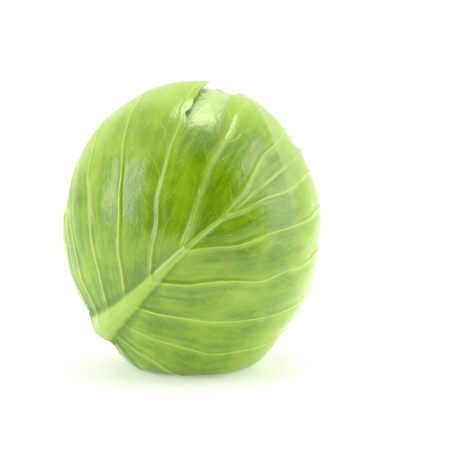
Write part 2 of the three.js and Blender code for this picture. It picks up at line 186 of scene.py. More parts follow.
def bow(start, control, end, share):
    return (1 - share) ** 2 * start + 2 * (1 - share) * share * control + share ** 2 * end


def angleTo(directions, axis):
    return np.degrees(np.arccos(np.clip(directions @ axis, -1, 1)))


def turnRound(vector, axis, angle):
    c, s = math.cos(math.radians(angle)), math.sin(math.radians(angle))
    return vector * c + np.cross(axis, vector) * s + axis * (axis @ vector) * (1 - c)


# How far the head reaches along each direction
def headForm(directions):
    size = np.array([head["halfWidth"], head["halfWidth"], head["halfHeight"]])
    oval = 1 / np.linalg.norm(directions / size, axis=-1)
    fromBelow = angleTo(directions, np.array([0, 0, -1.0]))
    sag = head["sag"] * bell(fromBelow, head["sagAt"], head["sagSpread"])
    dimple = head["dimple"] * bell(angleTo(directions, head["stem"]), 0, head["dimpleSpread"])
    return oval + sag - dimple


# The head is pressed flat where it lies on the ground
def pressFlat(directions, reach, level):
    shallowest = 1e-3
    down = np.maximum(shallowest, -directions[..., 2])
    flat = (head["middle"][2] - level) / down
    rounding = head["flatRounding"]
    bend = np.maximum(0, rounding - np.abs(reach - flat))
    return np.minimum(reach, flat) - bend ** 2 / (4 * rounding)


for index, leaf in enumerate(leaves):
    stem, front = head["stem"], head["frontLeaf"]
    outward = front - stem * (front @ stem)
    outward = turnRound(outward / np.linalg.norm(outward), stem, -leaf["turn"])
    lean = math.radians(leaf["lean"])
    leaf["index"] = index
    leaf["outward"] = outward
    leaf["middle"] = stem * math.cos(lean) + outward * math.sin(lean)
    leaf["along"] = outward * math.cos(lean) - stem * math.sin(lean)
    leaf["right"] = np.cross(leaf["along"], leaf["middle"])


def midribX(leaf, y):
    along = np.maximum(0, y - blade["bendStart"])
    ease = blade["bendEase"]
    return leaf["bend"] * np.where(along < ease, along ** 2 / (2 * ease), along - ease / 2)


# A place on the leaf laid out flat, as a direction, and the other way round
def directionOf(leaf, x, y):
    angle = np.maximum(tiny, np.hypot(x, y))
    share = np.sin(np.radians(angle)) / angle
    out = np.cos(np.radians(angle))[..., None] * leaf["middle"]
    return out + (share * x)[..., None] * leaf["right"] + (share * y)[..., None] * leaf["along"]


def placeOf(leaf, directions):
    angle = np.maximum(tiny, angleTo(directions, leaf["middle"]))
    share = np.sin(np.radians(angle)) / angle
    x = directions @ leaf["right"] / share
    y = directions @ leaf["along"] / share
    fromMidrib = np.degrees(np.arcsin(np.minimum(1, np.abs((x - midribX(leaf, y)) * share))))
    return x, y, angle, fromMidrib


def marginReach(leaf, x, y):
    around = np.arctan2(y, x)
    longPhase = blade["longPhase"] * leaf["index"]
    longWave = blade["longWave"] * np.sin(blade["longWaves"] * around + longPhase)
    shortWave = blade["shortWave"] * np.sin(blade["shortWaves"] * around + leaf["index"])
    tuck = leaf["tuck"] * bell(np.degrees(around), blade["tuckAround"], blade["tuckSpread"])
    return leaf["reach"] + longWave + shortWave + tuck


def midribHeight(leaf, y):
    fade = (1 - smooth(y, *blade["ribHeightFade"])) ** blade["ribHeightPower"]
    return leaf["midrib"] * lerp(blade["ribLowEnd"], 1, fade)


def midribHalfWidth(y):
    fade = (1 - smooth(y, *blade["ribWidthFade"])) ** blade["ribWidthPower"]
    return lerp(blade["ribSlimmest"], blade["ribWidest"], fade)


# How much a leaf covers each direction, and how much the leaves outside it do
def coverBy(leaf, directions):
    x, y, angle, fromMidrib = placeOf(leaf, directions)
    onBlade = 1 - smooth(angle - marginReach(leaf, x, y), blade["riseStart"], blade["riseEnd"])
    besideStalk = 1 - smooth(fromMidrib - blade["stalkHalfWidth"], blade["riseStart"], blade["stalkCover"])
    alongStalk = smooth(leaf["lean"] + y, 0, blade["stalkStart"] - blade["stalkEase"])
    alongStalk = alongStalk * (1 - smooth(angle - leaf["lean"], *blade["pastStem"]))
    return np.maximum(onBlade, np.where(y < 0, besideStalk * alongStalk, 0))


def coverOver(leaf, directions):
    bare = np.ones(directions.shape[:-1])
    for outer in leaves[:leaf["index"]]:
        bare = bare * (1 - coverBy(outer, directions))
    return 1 - bare


def midribSink(leaf, directions, covered):
    _, y, _, fromMidrib = placeOf(leaf, directions)
    beside = 1 - smooth(fromMidrib - midribHalfWidth(y), blade["sinkStart"], blade["sinkEnd"])
    ease = blade["stalkEase"]
    along = smooth(leaf["lean"] + y, -ease, blade["stalkStart"] - ease)
    return midribHeight(leaf, y) * beside * along * covered


# The room that the outermost leaves take off the head, and the height that they lift it off the ground
def roomAndLevel(count, directions):
    room = np.zeros(directions.shape[:-1])
    level = np.zeros(directions.shape[:-1])
    for leaf in leaves[:count]:
        covered = coverOver(leaf, directions)
        cover = coverBy(leaf, directions)
        layer = blade["thickness"] + leaf["gap"]
        room += cover * (layer + leaf["vein"] * covered) + midribSink(leaf, directions, covered)
        level += cover * layer
    return room, level


seeds = {"bumps": 0, "fineBumps": 5, "strayX": 100, "strayY": 105, "tornX": 107, "tornY": 109, "nextLeaf": 10}


# Soft bumps of a surface, from noise on the leaf laid out flat
def softBumps(leaf, pattern, points, scale):
    seed = seeds[pattern] + seeds["nextLeaf"] * leaf["index"]
    flat = points.reshape(-1, 2) * scale
    values = [noise.noise(Vector((x, y, seed))) for x, y in flat]
    return np.array(values).reshape(points.shape[:-1])


# Where the columns of a leaf's grid leave the midrib, as t
def bladeColumns(leaf):
    steps = leaf["veins"] + 1
    place = np.arange(steps * leaf["perVein"] + 1) / leaf["perVein"]
    within = place - leaf["veinShift"]
    fade = smooth(place, 0, 1) * (1 - smooth(place, steps - blade["crowdingEnd"], steps))
    t = (place - fade * blade["crowding"] * np.sin(2 * np.pi * within) / (2 * np.pi)) / steps
    if leaf["index"] == 0:
        for edge in (notch["start"], notch["end"]):
            t[np.argmin(np.abs(t - edge))] = edge
    return t


def notchShare(t):
    return notch["depth"] + notch["slant"] * smooth(t, notch["start"], notch["end"])


# Shares of the rows beyond the midrib: on the front leaf one row follows the bottom of the notch
def rowShares(leaf, t, beyond):
    if leaf["index"] > 0:
        return beyond + 0 * t
    row = notch["rowShare"]
    inner = beyond / row * notchShare(t)
    outer = lerp(notchShare(t), 1, (beyond - row) / (1 - row))
    return np.where(beyond <= row, inner, outer)


# The courses of the lateral veins, which leave the side of the midrib and bow out to the margin
def veinCourses(leaf, t, share, side, isRib, onRib):
    startY = lerp(blade["firstVein"] - leaf["lean"], blade["lastVein"], t ** blade["startPower"])
    startX = side * midribX(leaf, startY)
    length = np.maximum(tiny, np.hypot(startX, startY))
    flattening = length / np.degrees(np.sin(np.radians(length)))
    closing = 1 - t ** blade["closing"]
    ribWidth = midribHalfWidth(startY) * flattening * closing
    sideX, sideY = startX + ribWidth, startY + blade["ribSlant"] * ribWidth
    tipSlope = midribX(leaf, np.array(leaf["reach"])) / leaf["reach"]
    tipRise = 90 - side * np.degrees(np.arctan(tipSlope))
    rise = np.radians(lerp(tipRise, blade["lowestEnd"], (1 - t) ** blade["endPower"]))
    reach = marginReach(leaf, side * np.cos(rise), np.sin(rise))
    endX, endY = np.cos(rise) * reach, np.sin(rise) * reach
    veinBow = blade["veinBow"] * closing
    controlX = (sideX + endX) / 2 + veinBow * (endY - sideY)
    controlY = (sideY + endY) / 2 - veinBow * (endX - sideX)
    x = np.where(isRib, lerp(startX, sideX, onRib), bow(sideX, controlX, endX, share))
    y = np.where(isRib, lerp(startY, sideY, onRib), bow(sideY, controlY, endY, share))
    return x, y


# How far places stray from those courses, sideways and along the leaf
def strayFrom(leaf, flat, t, share, side, isRib):
    ends = smooth(share, *blade["wanderStart"]) * (1 - smooth(share, *blade["wanderEnd"]))
    loose = np.where(isRib, 0, ends)
    loose = loose * blade["wander"] * smooth(1 - t, 0, blade["tipWander"])
    strayX = loose * softBumps(leaf, "strayX", flat, blade["wanderScale"])
    strayY = loose * softBumps(leaf, "strayY", flat, blade["wanderScale"])
    if leaf["index"] == 0:
        start, end, ease = notch["start"], notch["end"], notch["cornerEase"]
        atSides = bell(t, start, notch["sideSpread"]) + bell(t, end, notch["sideSpread"])
        sides = notch["tear"] * atSides * smooth(share, *notch["tearSides"])
        within = smooth(t, start - ease, start) * (1 - smooth(t, end, end + ease))
        bottom = notch["tear"] * within * bell(share, notchShare(t), notch["depthSpread"])
        torn = np.where(side < 0, sides, 0) + np.where(side < 0, bottom, 0)
        strayX = strayX + torn * softBumps(leaf, "tornX", flat, notch["tearScale"])
        strayY = strayY + torn * softBumps(leaf, "tornY", flat, notch["tearScale"])
    return strayX, strayY


# The stalk, from the stem to where the blade begins, wrapped a little round the stem
def stalkDirections(leaf, side, onRib, beyond):
    along = np.linspace(0, 1, blade["stalkColumns"])[:, None]
    fromStem = np.radians(lerp(blade["stalkStart"], blade["stalkEnd"], along))
    halfWidth = math.sin(math.radians(blade["stalkHalfWidth"]))
    widest = np.arcsin(np.minimum(blade["stalkWrap"], halfWidth / np.sin(fromStem)))
    ribShare = blade["stalkRibShare"]
    around = side * widest * (ribShare * onRib + (1 - ribShare) * beyond)
    onStalk = (np.cos(fromStem) + 0 * side)[..., None] * head["stem"]
    onStalk = onStalk + (np.sin(fromStem) * np.cos(around))[..., None] * leaf["outward"]
    return onStalk + (np.sin(fromStem) * np.sin(around))[..., None] * leaf["right"]


# The places of one leaf's grid: columns follow its veins, rows run from the midrib to the margins
def leafGrid(leaf):
    t = bladeColumns(leaf)[:, None]
    row = np.arange(-leaf["rows"], leaf["rows"] + 1)[None, :]
    side = np.where(row < 0, -1, 1)
    onRib = np.clip(np.abs(row) / leaf["ribRows"], 0, 1)
    beyond = np.clip((np.abs(row) - leaf["ribRows"]) / (leaf["rows"] - leaf["ribRows"]), 0, 1)
    isRib = np.abs(row) + 0 * t <= leaf["ribRows"]
    share = rowShares(leaf, t, beyond)
    x, y = veinCourses(leaf, t, share, side, isRib, onRib)
    strayX, strayY = strayFrom(leaf, np.stack([side * x, y], axis=-1), t, share, side, isRib)
    onBlade = directionOf(leaf, side * x + strayX, y + strayY)
    onStalk = stalkDirections(leaf, side, onRib, beyond)

    blend = np.linspace(0, 1, blade["joinColumns"] + 2)[1:-1, None, None]
    joining = lerp(onStalk[-1:], onBlade[:1], blend)
    joining = joining / np.linalg.norm(joining, axis=-1, keepdims=True)
    lead = len(onStalk) + blade["joinColumns"]
    return {
        "directions": np.concatenate([onStalk, joining, onBlade]),
        "t": np.concatenate([np.zeros((lead, 1)), t]) + 0 * row,
        "share": np.concatenate([np.zeros((lead, share.shape[1])), share]),
        "side": side + np.zeros((lead + len(t), 1)),
        "lead": lead,
    }


# How far each place is from the nearest lateral vein, in half widths of that vein
def distanceToVein(leaf, grid, reach):
    points = grid["directions"] * reach[..., None]
    lead = grid["lead"]
    t, share = grid["t"][lead:], grid["share"][lead:]
    steps = leaf["veins"] + 1
    shift = leaf["veinShift"]
    nearest = (np.clip(np.round(t * steps - shift), 1, leaf["veins"]) + shift) / steps
    acrossVeins = np.gradient(points[lead:], t[:, 0], axis=0)
    alongVeins = np.gradient(points[lead:], axis=1)
    alongVeins = alongVeins / np.maximum(tiny, np.linalg.norm(alongVeins, axis=-1, keepdims=True))
    spacing = np.linalg.norm(np.cross(acrossVeins, alongVeins), axis=-1)
    halfWidth = lerp(blade["veinHalfWidth"], blade["veinEndHalfWidth"], share)
    distance = np.full(grid["t"].shape, blade["farFromVeins"])
    distance[lead:] = np.minimum(blade["farFromVeins"], np.abs(t - nearest) * spacing / halfWidth)
    return distance


# A sharp fold that runs across the front leaf below its tip, and beyond it a paler patch, which is painted
# sheen
crease = {
    "y": 56.5,
    "slope": 0.62,
    "left": (-26, -16),
    "right": (8, 18),
    # Where the painted sheen lies: a paler patch past the fold, towards the tip
    "sheenRight": (12, 30),
    "sheenEdge": (-0.5, 1.5),
    "ridge": 0.5 * mm,
    "ridgeSpread": 1.4,
    "drop": 0.9 * mm,
    "dropSpread": 7,
}


def creaseAt(x, y):
    beyond = y - (crease["y"] - crease["slope"] * x)
    ridge = crease["ridge"] * bell(beyond, 0, crease["ridgeSpread"])
    drop = crease["drop"] * smooth(beyond, 0, crease["dropSpread"])
    left = smooth(x, *crease["left"])
    # Painted sheen: a paler patch past the fold
    pale = smooth(beyond, *crease["sheenEdge"]) * left * (1 - smooth(x, *crease["sheenRight"]))
    return (ridge - drop) * (left * (1 - smooth(x, *crease["right"]))), pale


# How far the blade lies off its plain form, and where it gets painted sheen, a paler patch past the crease
def bladeLift(leaf, x, y, t, share, side):
    betweenVeins = np.abs(np.sin(np.pi * (t * (leaf["veins"] + 1) - leaf["veinShift"])))
    puff = blade["puff"] * betweenVeins * np.sin(np.pi * share)
    phase = (leaf["index"] + side) * (1 - smooth(t, blade["tipStart"], 1))
    waves = 0.5 + 0.5 * np.sin(2 * np.pi * blade["ruffleWaves"] * t + phase)
    ruffle = leaf["ruffle"] * smooth(share, blade["ruffleStart"], 1) * waves
    flat = np.stack([x, y], axis=-1)
    onBlade = smooth(share, *blade["bumpStart"]) * (1 - smooth(share, *blade["bumpEnd"]))
    bumps = blade["bump"] * softBumps(leaf, "bumps", flat, blade["bumpScale"])
    bumps = bumps + blade["fineBump"] * softBumps(leaf, "fineBumps", flat, blade["fineBumpScale"])
    lift = puff + ruffle + bumps * onBlade
    if leaf["index"] > 0:
        return lift, 0 * t
    towardsMargin = smooth(share, notch["depth"] - notch["curlStart"], 1)
    curl = notch["curl"] * bell(t, notch["start"], notch["curlSpread"]) * towardsMargin
    fold, pale = creaseAt(x, y)
    return lift + np.where(side < 0, curl, 0) + fold, pale


# Both sheets of a leaf, and what its material needs to know at each place
def leafShape(leaf):
    grid = leafGrid(leaf)
    directions, t, share, side = grid["directions"], grid["t"], grid["share"], grid["side"]
    x, y, _, fromMidrib = placeOf(leaf, directions)
    covered = coverOver(leaf, directions)
    room, level = roomAndLevel(leaf["index"], directions)
    sunk = leaf["vein"] * covered + midribSink(leaf, directions, covered)
    base = headForm(directions) - room - sunk

    acrossRib = fromMidrib / midribHalfWidth(y)
    rib = midribHeight(leaf, y) * (1 - np.minimum(1, acrossRib) ** 2) ** blade["ribRoundness"]
    distance = distanceToVein(leaf, grid, base)
    crest = np.maximum(0, 1 - (distance / blade["veinFoot"]) ** 2) ** 2
    vein = leaf["vein"] * (1 - blade["veinTaper"] * share) * crest
    lift, pale = bladeLift(leaf, x, y, t, share, side)
    surface = base + lift * (1 - covered)
    thinning = smooth(share, blade["marginStart"], 1)
    thickness = lerp(blade["thickness"], blade["marginThickness"], thinning)
    pattern = np.stack([x, y], axis=-1) * blade["patternScale"]
    ownPattern = np.full(t.shape + (1,), blade["patternStep"] * leaf["index"])
    return {
        "directions": directions,
        "outerReach": pressFlat(directions, surface + np.hypot(rib, vein), level),
        "leafPlace": np.concatenate([pattern, ownPattern], axis=-1),
        "leafGrain": np.stack([t * (leaf["veins"] + 1) - leaf["veinShift"], share, side], axis=-1),
        "veinDistance": distance,
        "acrossRib": np.minimum(3, acrossRib),
        "fromStem": leaf["lean"] + y,
        "covered": covered,
        # Where the painted sheen lies, a paler patch past the crease
        "bloom": pale,
        "innerReach": pressFlat(directions, surface - thickness, level + thickness),
    }


def keepAttribute(mesh, name, values):
    isVector = values.ndim == 2
    layer = mesh.attributes.new(name, "FLOAT_VECTOR" if isVector else "FLOAT", "POINT")
    flat = np.ascontiguousarray(values, dtype=np.float32).ravel()
    layer.data.foreach_set("vector" if isVector else "value", flat)


# Whether a face of the front leaf lies in its notch
def isTorn(leaf, face, leafGrain):
    middle = sum((vert[leafGrain] for vert in face.verts), Vector()) / len(face.verts)
    t = (middle.x + leaf["veinShift"]) / (leaf["veins"] + 1)
    return middle.z < 0 and notch["start"] < t < notch["end"] and middle.y > notchShare(t)


# One leaf as a closed piece: a grid bent over the head, then given its thickness inwards
def makeLeaf(leaf):
    shape = leafShape(leaf)
    columns, rows = shape["veinDistance"].shape
    bm = bmesh.new()
    bmesh.ops.create_grid(bm, x_segments=columns - 1, y_segments=rows - 1, size=1)
    mesh = bpy.data.meshes.new(f"wrapperLeaf{leaf['index'] + 1}")
    bm.to_mesh(mesh)
    bm.free()
    corners = np.zeros(len(mesh.vertices) * 3)
    mesh.vertices.foreach_get("co", corners)
    corners = corners.reshape(-1, 3)
    i = np.rint((corners[:, 0] + 1) / 2 * (columns - 1)).astype(int)
    j = np.rint((corners[:, 1] + 1) / 2 * (rows - 1)).astype(int)
    outer = shape["directions"][i, j] * shape["outerReach"][i, j][:, None] + head["middle"]
    mesh.vertices.foreach_set("co", outer.ravel())
    for name in ("leafPlace", "leafGrain", "veinDistance", "acrossRib", "fromStem", "covered", "bloom",
                 "innerReach"):
        keepAttribute(mesh, name, shape[name][i, j])

    bm = bmesh.new()
    bm.from_mesh(mesh)
    innerReach = bm.verts.layers.float["innerReach"]
    leafGrain = bm.verts.layers.float_vector["leafGrain"]
    if leaf["index"] == 0:
        torn = [face for face in bm.faces if isTorn(leaf, face, leafGrain)]
        bmesh.ops.delete(bm, geom=torn, context="FACES")
    bmesh.ops.remove_doubles(bm, verts=bm.verts, dist=blade["mergeDistance"])
    made = bmesh.ops.extrude_face_region(bm, geom=bm.faces[:], use_keep_orig=True)
    middle = Vector(head["middle"])
    for vert in made["geom"]:
        if isinstance(vert, bmesh.types.BMVert):
            vert.co = middle + (vert.co - middle).normalized() * vert[innerReach]
    bmesh.ops.recalc_face_normals(bm, faces=bm.faces[:])
    bm.to_mesh(mesh)
    print(mesh.name, len(bm.faces), "faces, volume", round(bm.calc_volume() * 1e6, 1), "cm3")
    bm.free()
    mesh.attributes.remove(mesh.attributes["innerReach"])
    return finishMesh(mesh, blade["sharpAngle"])


def finishMesh(mesh, sharpAngle):
    mesh.shade_smooth()
    mesh.set_sharp_from_angle(angle=math.radians(sharpAngle))
    piece = bpy.data.objects.new(mesh.name, mesh)
    bpy.context.scene.collection.objects.link(piece)
    return piece


# A round piece about the stem's axis: a sphere whose rings are moved to where placeRings puts them
def makeRound(name, form, placeRings):
    bm = bmesh.new()
    bmesh.ops.create_uvsphere(bm, u_segments=form["around"], v_segments=form["rings"], radius=1)
    stem = head["stem"]
    sideways = np.cross([0, 0, 1.0], stem)
    sideways = sideways / np.linalg.norm(sideways)
    upwards = np.cross(stem, sideways)
    balls = np.array([vert.co[:] for vert in bm.verts])
    ring = np.arccos(np.clip(balls[:, 2], -1, 1)) / math.pi
    turn = np.arctan2(balls[:, 1], balls[:, 0])
    outward = np.cos(turn)[:, None] * sideways + np.sin(turn)[:, None] * upwards
    points = placeRings(ring, turn, outward) + head["middle"]
    for vert, point in zip(bm.verts, points):
        vert.co = point
    bmesh.ops.recalc_face_normals(bm, faces=bm.faces[:])
    mesh = bpy.data.meshes.new(name)
    bm.to_mesh(mesh)
    bm.free()
    return finishMesh(mesh, form["sharpAngle"])


heart = {
    "around": 160,
    "rings": 110,
    "sharpAngle": 60,
    "gap": 3.2 * mm,
    "fold": 1.5 * mm,  # the step where the margin of a packed leaf ends
    "foldEdge": 0.97,
    "foldsFullAt": 45,
    "windings": 3,
    "windingWidth": 60,
    "holeDepth": 41.6 * mm,  # the stem runs into this hole
    "holeRings": 0.06,
    "holeEnd": 1e-4,
}


def heartRings(ring, turn, outward):
    stem = head["stem"]
    cone, hole = blade["stalkStart"], heart["holeRings"]
    fromStem = lerp(cone, 180, np.clip((ring - hole) / (1 - hole), 0, 1))
    angle = np.radians(fromStem)
    directions = np.cos(angle)[:, None] * stem + np.sin(angle)[:, None] * outward
    winding = heart["windings"] * turn / (2 * np.pi) + fromStem / heart["windingWidth"]
    within = winding - np.floor(winding)
    step = within * (1 - smooth(within, heart["foldEdge"], 1))
    room, level = roomAndLevel(len(leaves), directions)
    fold = heart["fold"] * step * smooth(fromStem, cone, heart["foldsFullAt"])
    free = headForm(directions) - room - heart["gap"] - fold
    reach = pressFlat(directions, free, level)
    wall = lerp(heart["holeDepth"] / math.cos(math.radians(cone)), reach, np.clip(ring / hole, 0, 1))
    points = directions * np.where(ring < hole, wall, reach)[:, None]
    isEnd = ring < heart["holeEnd"]
    return np.where(isEnd[:, None], stem * heart["holeDepth"], points)


# The rings of the stem's sphere make its tip, its side, the bevel and the cut
cutStem = {
    "around": 96,
    "rings": 70,
    "sharpAngle": 40,
    "cone": 9.4,
    "tipReach": 42 * mm,
    "endReach": 90 * mm,
    "ringStops": [0, 0.06, 0.55, 0.62, 1],
    "bevel": 1.2 * mm,
    "bevelSlant": 0.6,
    "dish": 0.5 * mm,  # how far the cut has shrunk in
    "dishRings": (0.64, 0.8),
    "coreRings": (0.85, 1),
    "coreRise": 0.6,
    "flutes": 5,
    "flute": 0.35 * mm,
    "fluteStart": 6 * mm,
    "fluteEnd": (0.55, 0.7),
}


def stemRings(ring, turn, outward):
    stem = head["stem"]
    slope = math.tan(math.radians(cutStem["cone"]))
    tip, end, bevel = cutStem["tipReach"], cutStem["endReach"], cutStem["bevel"]
    endRadius = end * slope - bevel * cutStem["bevelSlant"]
    stops = cutStem["ringStops"]
    along = np.interp(ring, stops, [tip, tip, end - bevel, end, end])
    radius = np.interp(ring, stops, [0, tip * slope, (end - bevel) * slope, endRadius, 0])
    fluted = smooth(along, tip + cutStem["fluteStart"], end) * (1 - smooth(ring, *cutStem["fluteEnd"]))
    radius = radius - cutStem["flute"] * fluted * (0.5 + 0.5 * np.sin(cutStem["flutes"] * turn))
    core = 1 - cutStem["coreRise"] * smooth(ring, *cutStem["coreRings"])
    along = along - cutStem["dish"] * smooth(ring, *cutStem["dishRings"]) * core
    return stem * along[:, None] + outward * radius[:, None]


# Shader helpers
def addNode(tree, kind, inputs=(), **settings):
    node = tree.nodes.new("ShaderNode" + kind)
    for name, value in settings.items():
        setattr(node, name, value)
    for name, value in dict(inputs).items():
        if isinstance(value, bpy.types.NodeSocket):
            tree.links.new(value, node.inputs[name])
        else:
            node.inputs[name].default_value = value
    return node


def addMath(tree, operation, *values):
    return addNode(tree, "Math", dict(enumerate(values)), operation=operation).outputs[0]


def addRange(tree, value, start, end, low=0.0, high=1.0):
    settings = {"Value": value, "From Min": start, "From Max": end, "To Min": low, "To Max": high}
    return addNode(tree, "MapRange", settings, interpolation_type="SMOOTHSTEP").outputs[0]


def mixColours(tree, factor, first, second):
    return addNode(tree, "Mix", {0: factor, 6: first, 7: second}, data_type="RGBA").outputs[2]


def addVectors(tree, operation, *vectors):
    return addNode(tree, "VectorMath", dict(enumerate(vectors)), operation=operation)


def addNoise(tree, place, scale, detail=3.0, roughness=0.5):
    inputs = {"Vector": place, "Scale": scale, "Detail": detail, "Roughness": roughness}
    return addNode(tree, "TexNoise", inputs).outputs["Fac"]


def addStretchedNoise(tree, place, stretch, detail, roughness):
    stretched = addVectors(tree, "MULTIPLY", place, stretch).outputs[0]
    return addNoise(tree, stretched, 1.0, detail, roughness)


def addCellEdges(tree, place, scale):
    inputs = {"Vector": place, "Scale": scale}
    return addNode(tree, "TexVoronoi", inputs, feature="DISTANCE_TO_EDGE").outputs["Distance"]


def readAttribute(tree, name, output="Fac"):
    return addNode(tree, "Attribute", attribute_name=name).outputs[output]


def startMaterial(name):
    material = bpy.data.materials.new(name)
    material.use_nodes = True
    tree = material.node_tree
    return material, tree, tree.nodes["Principled BSDF"]


def addBump(tree, shader, height, strength, distance):
    bump = addNode(tree, "Bump", {"Height": height, "Strength": strength, "Distance": distance})
    tree.links.new(bump.outputs[0], shader.inputs["Normal"])


# Fine veins that every leaf has: branches of the lateral veins, and the net between them.
# From here on a mask gives where it starts and ends, then its values there, and a noise gives its scale or
# stretch, then detail and roughness
veinNet = {
    "wanderScale": 0.06,
    "wander": 0.9,
    "branchLean": -2.6,
    "branchMask": (0.012, 0.07, 1.0, 0.0),
    "bendScale": 0.16,
    "cellScale": 0.21,
    "cellMask": (0.01, 0.07, 1.0, 0.0),
    "fineCellScale": 0.55,
    "fineCellMask": (0.01, 0.1, 0.45, 0.0),
    "mottleNoise": (0.03, 5.0, 0.6),
    "streakNoise": ((6.0, 2.5, 1.0), 5.0, 0.65),
}


def makeFineVeins():
    group = bpy.data.node_groups.new("fineVeins", "ShaderNodeTree")
    for name, kind in (("Place", "Vector"), ("Grain", "Vector"), ("Branches", "Float")):
        group.interface.new_socket(name, in_out="INPUT", socket_type="NodeSocket" + kind)
    for name in ("Branch", "Net", "Mottle", "Streaks"):
        group.interface.new_socket(name, in_out="OUTPUT", socket_type="NodeSocketFloat")
    start = group.nodes.new("NodeGroupInput")
    end = group.nodes.new("NodeGroupOutput")
    place, grain, branches = start.outputs["Place"], start.outputs["Grain"], start.outputs["Branches"]

    parts = addNode(group, "SeparateXYZ", {0: grain})
    fromVein = addMath(group, "PINGPONG", parts.outputs[0], 0.5)
    lean = addMath(group, "MULTIPLY", fromVein, veinNet["branchLean"])
    along = addMath(group, "MULTIPLY_ADD", parts.outputs[1], branches, lean)
    wander = addNoise(group, place, veinNet["wanderScale"])
    along = addMath(group, "MULTIPLY_ADD", wander, veinNet["wander"], along)
    branch = addRange(group, addMath(group, "PINGPONG", along, 0.5), *veinNet["branchMask"])

    bend = addNode(group, "TexNoise", {"Vector": place, "Scale": veinNet["bendScale"]}).outputs["Color"]
    bent = addVectors(group, "ADD", place, bend).outputs[0]
    net = addRange(group, addCellEdges(group, bent, veinNet["cellScale"]), *veinNet["cellMask"])
    fineCells = addCellEdges(group, bent, veinNet["fineCellScale"])
    fineNet = addRange(group, fineCells, *veinNet["fineCellMask"])

    group.links.new(branch, end.inputs["Branch"])
    group.links.new(addMath(group, "MAXIMUM", net, fineNet), end.inputs["Net"])
    group.links.new(addNoise(group, place, *veinNet["mottleNoise"]), end.inputs["Mottle"])
    group.links.new(addStretchedNoise(group, grain, *veinNet["streakNoise"]), end.inputs["Streaks"])
    return group


fineVeins = makeFineVeins()

# What the skin of all leaves shares: where each colour shows and how much, and the relief
leafSkin = {
    "ior": 1.58,
    "subsurface": 0.12,
    "subsurfaceRadius": (0.9, 1.0, 0.25),
    "subsurfaceScale": 1.5 * mm,
    "streakShare": 0.4,
    "patchMask": (0.34, 0.64),
    "marginEdge": (0.45, 1.0),
    "hiddenMask": (0.7, 1.0, 0.0, 0.8),
    # How strongly the painted sheen past the crease shows, and the paler wax spots
    "sheenShare": 0.5,
    "bloomSpotMask": (0.56, 0.74, 0.0, 0.25),
    "netShare": 0.05,
    "branchShare": 0.13,
    "glowMask": (1.0, 8.0, 0.14, 0.0),
    "veinMask": (0.1, 1.0, 1.0, 0.0),
    "ribMask": (0.5, 1.0, 1.0, 0.0),
    "ribShare": 0.9,
    "ribFibreMask": (0.35, 0.65, 0.0, 0.45),
    "wideRibMask": (70.0, 135.0, 1.0, 0.0),  # in degrees from the stem, for what its wide part alone has
    # Darker green along the midrib's borders: partly the leaf's own tone, partly painted shade where the rib
    # meets the blade
    "ribEdgeShadeStart": (0.75, 1.0),
    "ribEdgeShadeEnd": (1.1, 1.8, 0.65, 0.0),
    "stalkMask": (16.0, 55.0, 0.8, 0.0),
    "stalkSideMask": (0.8, 1.5, 1.0, 0.3),
    "fibreNoise": ((0.9, 0.03, 1.0), 4.0, 0.6),
    "grainNoise": (1.6, 4.0, 0.6),
    "patchRoughness": 0.10,
    "grainRoughness": 0.06,
    "grooveStart": (0.8, 1.05),
    "grooveEnd": (1.05, 1.35, 1.0, 0.0),
    "crumpleNoise": ((0.18, 0.6, 1.0), 3.0, 0.5),
    "sheenCrumple": 0.4,
    "waveScale": 0.45,
    "relief": {"streaks": 1.6, "branch": 0.6, "ribFibres": 2.0, "groove": -2.5, "crumples": 9.0,
               "net": 0.3, "waves": 0.7, "grainy": 0.12},
    "bump": 0.45,
    "bumpDistance": 0.25 * mm,
}

outerLook = {
    "deep": (0.10, 0.235, 0.0, 1),
    "green": (0.275, 0.47, 0.005, 1),
    "pale": (0.45, 0.675, 0.045, 1),
    "vein": (0.50, 0.70, 0.11, 1),
    "rib": (0.42, 0.60, 0.09, 1),
    "stalk": (0.48, 0.62, 0.18, 1),
    "hidden": (0.60, 0.79, 0.26, 1),  # where other leaves cover it
    "bloom": (0.42, 0.57, 0.15, 1),  # paler wax spots, and painted sheen past the crease of the front leaf
    "veinContrast": 0.75,
    "marginPale": 0.75,
    "branches": 7.0,
    "roughness": 0.03,
}
innerLook = {
    "deep": (0.38, 0.57, 0.07, 1),
    "green": (0.47, 0.66, 0.12, 1),
    "pale": (0.60, 0.76, 0.25, 1),
    "vein": (0.66, 0.80, 0.33, 1),
    "rib": (0.72, 0.82, 0.42, 1),
    "stalk": (0.76, 0.82, 0.52, 1),
    "hidden": (0.66, 0.80, 0.36, 1),
    "bloom": (0.60, 0.74, 0.36, 1),
    "veinContrast": 0.8,
    "marginPale": 0.4,
    "branches": 6.0,
    "roughness": 0.12,
}


# What varies over a leaf, as outputs of nodes
def leafMasks(tree, look):
    names = ("veinDistance", "acrossRib", "fromStem", "covered", "bloom")
    masks = {name: readAttribute(tree, name) for name in names}
    place = readAttribute(tree, "leafPlace", "Vector")
    grain = readAttribute(tree, "leafGrain", "Vector")
    inputs = {"Place": place, "Grain": grain, "Branches": look["branches"]}
    veins = addNode(tree, "Group", inputs, node_tree=fineVeins)
    for output in veins.outputs:
        masks[output.name.lower()] = output
    masks["place"] = place
    masks["share"] = addNode(tree, "SeparateXYZ", {0: grain}).outputs[1]
    mottling = addMath(tree, "MULTIPLY", masks["mottle"], 1 - leafSkin["streakShare"])
    masks["patches"] = addMath(tree, "MULTIPLY_ADD", masks["streaks"], leafSkin["streakShare"], mottling)
    masks["rib"] = addRange(tree, masks["acrossRib"], *leafSkin["ribMask"])
    masks["isWide"] = addRange(tree, masks["fromStem"], *leafSkin["wideRibMask"])
    masks["fibres"] = addStretchedNoise(tree, place, *leafSkin["fibreNoise"])
    masks["grainy"] = addNoise(tree, place, *leafSkin["grainNoise"])
    return masks


